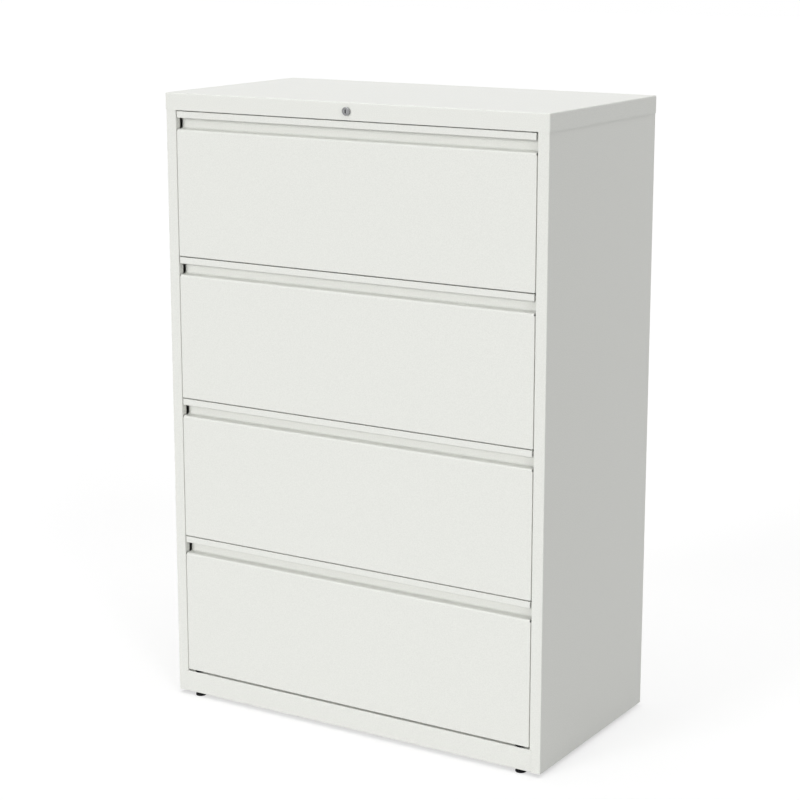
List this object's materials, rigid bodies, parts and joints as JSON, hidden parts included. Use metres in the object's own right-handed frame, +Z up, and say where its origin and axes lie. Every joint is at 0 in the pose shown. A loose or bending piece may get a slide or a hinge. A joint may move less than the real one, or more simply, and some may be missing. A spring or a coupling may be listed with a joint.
{
  "type": "lateral filing cabinet",
  "caption": "Steel lateral filing cabinet whose wide drawers, each with a full-width recessed pull, run on telescoping slides and lock together from one key lock.",
  "frame": {"origin": "on the floor, under the middle of the top cover", "axes": "+X to the cabinet's right as seen from the front, +Y to the back, +Z up; the drawers open towards -Y"},
  "size_m": [0.9144, 0.479, 1.337],
  "materials": {
    "off_white_paint": "satin powder coat, off-white, with a fine grain",
    "zinc_plate": "zinc plated sheet, satin",
    "black_plastic": "moulded black, satin",
    "lock_chrome": "satin chrome"
  },
  "bodies": {
    "cabinet": {"left_side_panel": "off_white_paint", "right_side_panel": "off_white_paint", "back_panel": "off_white_paint", "top_cover": "off_white_paint", "base_front_rail": "off_white_paint", "base_rear_rail": "off_white_paint", "left_front_upright": "off_white_paint", "left_rear_upright": "off_white_paint", "right_front_upright": "off_white_paint", "right_rear_upright": "off_white_paint", "lock_housing": "lock_chrome", "lock_nut": "zinc_plate", "lock_shaft_bracket": "zinc_plate", "lock_bar_guide": "zinc_plate", "left_cabinet_rail_1": "zinc_plate", "right_cabinet_rail_1": "zinc_plate", "left_cabinet_rail_2": "zinc_plate", "right_cabinet_rail_2": "zinc_plate", "left_cabinet_rail_3": "zinc_plate", "right_cabinet_rail_3": "zinc_plate", "left_cabinet_rail_4": "zinc_plate", "right_cabinet_rail_4": "zinc_plate"},
    "drawer_1": {"drawer_front_1": "off_white_paint", "drawer_tray_1": "off_white_paint", "hang_rail_1": "zinc_plate", "left_drawer_rail_1": "zinc_plate", "right_drawer_rail_1": "zinc_plate"},
    "slide_middle_1": {"left_middle_rail_1": "zinc_plate", "right_middle_rail_1": "zinc_plate"},
    "drawer_2": {"drawer_front_2": "off_white_paint", "drawer_tray_2": "off_white_paint", "hang_rail_2": "zinc_plate", "left_drawer_rail_2": "zinc_plate", "right_drawer_rail_2": "zinc_plate"},
    "slide_middle_2": {"left_middle_rail_2": "zinc_plate", "right_middle_rail_2": "zinc_plate"},
    "drawer_3": {"drawer_front_3": "off_white_paint", "drawer_tray_3": "off_white_paint", "hang_rail_3": "zinc_plate", "left_drawer_rail_3": "zinc_plate", "right_drawer_rail_3": "zinc_plate"},
    "slide_middle_3": {"left_middle_rail_3": "zinc_plate", "right_middle_rail_3": "zinc_plate"},
    "drawer_4": {"drawer_front_4": "off_white_paint", "drawer_tray_4": "off_white_paint", "hang_rail_4": "zinc_plate", "left_drawer_rail_4": "zinc_plate", "right_drawer_rail_4": "zinc_plate"},
    "slide_middle_4": {"left_middle_rail_4": "zinc_plate", "right_middle_rail_4": "zinc_plate"},
    "lock": {"lock_plug": "lock_chrome", "lock_shaft": "zinc_plate"},
    "lock_bar": {"lock_bar": "zinc_plate"},
    "left_front_glide": {"left_front_glide": "black_plastic"},
    "left_rear_glide": {"left_rear_glide": "black_plastic"},
    "right_front_glide": {"right_front_glide": "black_plastic"},
    "right_rear_glide": {"right_rear_glide": "black_plastic"}
  },
  "joints": [
    {"name": "drawer_1_slide", "type": "slide", "parent": "cabinet", "child": "drawer_1", "axis": [0, -1, 0], "range_m": [0, 0.4]},
    {"name": "slide_middle_1_slide", "type": "slide", "parent": "cabinet", "child": "slide_middle_1", "axis": [0, -1, 0], "range_m": [0, 0.2]},
    {"name": "drawer_2_slide", "type": "slide", "parent": "cabinet", "child": "drawer_2", "axis": [0, -1, 0], "range_m": [0, 0.4]},
    {"name": "slide_middle_2_slide", "type": "slide", "parent": "cabinet", "child": "slide_middle_2", "axis": [0, -1, 0], "range_m": [0, 0.2]},
    {"name": "drawer_3_slide", "type": "slide", "parent": "cabinet", "child": "drawer_3", "axis": [0, -1, 0], "range_m": [0, 0.4]},
    {"name": "slide_middle_3_slide", "type": "slide", "parent": "cabinet", "child": "slide_middle_3", "axis": [0, -1, 0], "range_m": [0, 0.2]},
    {"name": "drawer_4_slide", "type": "slide", "parent": "cabinet", "child": "drawer_4", "axis": [0, -1, 0], "range_m": [0, 0.4]},
    {"name": "slide_middle_4_slide", "type": "slide", "parent": "cabinet", "child": "slide_middle_4", "axis": [0, -1, 0], "range_m": [0, 0.2]},
    {"name": "lock_turn", "type": "hinge", "parent": "cabinet", "child": "lock", "pos_m": [0, -0.2365, 1.3188], "axis": [0, 1, 0], "range_deg": [0, 90]},
    {"name": "lock_bar_lift", "type": "slide", "parent": "cabinet", "child": "lock_bar", "axis": [0, 0, 1], "range_m": [0, 0.01414]},
    {"name": "left_front_glide_turn", "type": "hinge", "parent": "cabinet", "child": "left_front_glide", "pos_m": [-0.4055, -0.2227, 0], "axis": [0, 0, 1], "continuous": true},
    {"name": "left_rear_glide_turn", "type": "hinge", "parent": "cabinet", "child": "left_rear_glide", "pos_m": [-0.4055, 0.2201, 0], "axis": [0, 0, 1], "continuous": true},
    {"name": "right_front_glide_turn", "type": "hinge", "parent": "cabinet", "child": "right_front_glide", "pos_m": [0.4055, -0.2227, 0], "axis": [0, 0, 1], "continuous": true},
    {"name": "right_rear_glide_turn", "type": "hinge", "parent": "cabinet", "child": "right_rear_glide", "pos_m": [0.4055, 0.2201, 0], "axis": [0, 0, 1], "continuous": true}
  ],
  "couplings": [
    {"joint": "slide_middle_1_slide", "follows": "drawer_1_slide", "ratio": 0.5},
    {"joint": "slide_middle_2_slide", "follows": "drawer_2_slide", "ratio": 0.5},
    {"joint": "slide_middle_3_slide", "follows": "drawer_3_slide", "ratio": 0.5},
    {"joint": "slide_middle_4_slide", "follows": "drawer_4_slide", "ratio": 0.5},
    {"joint": "lock_turn", "follows": "lock_bar_lift", "rad_per_m": 111.07}
  ]
}
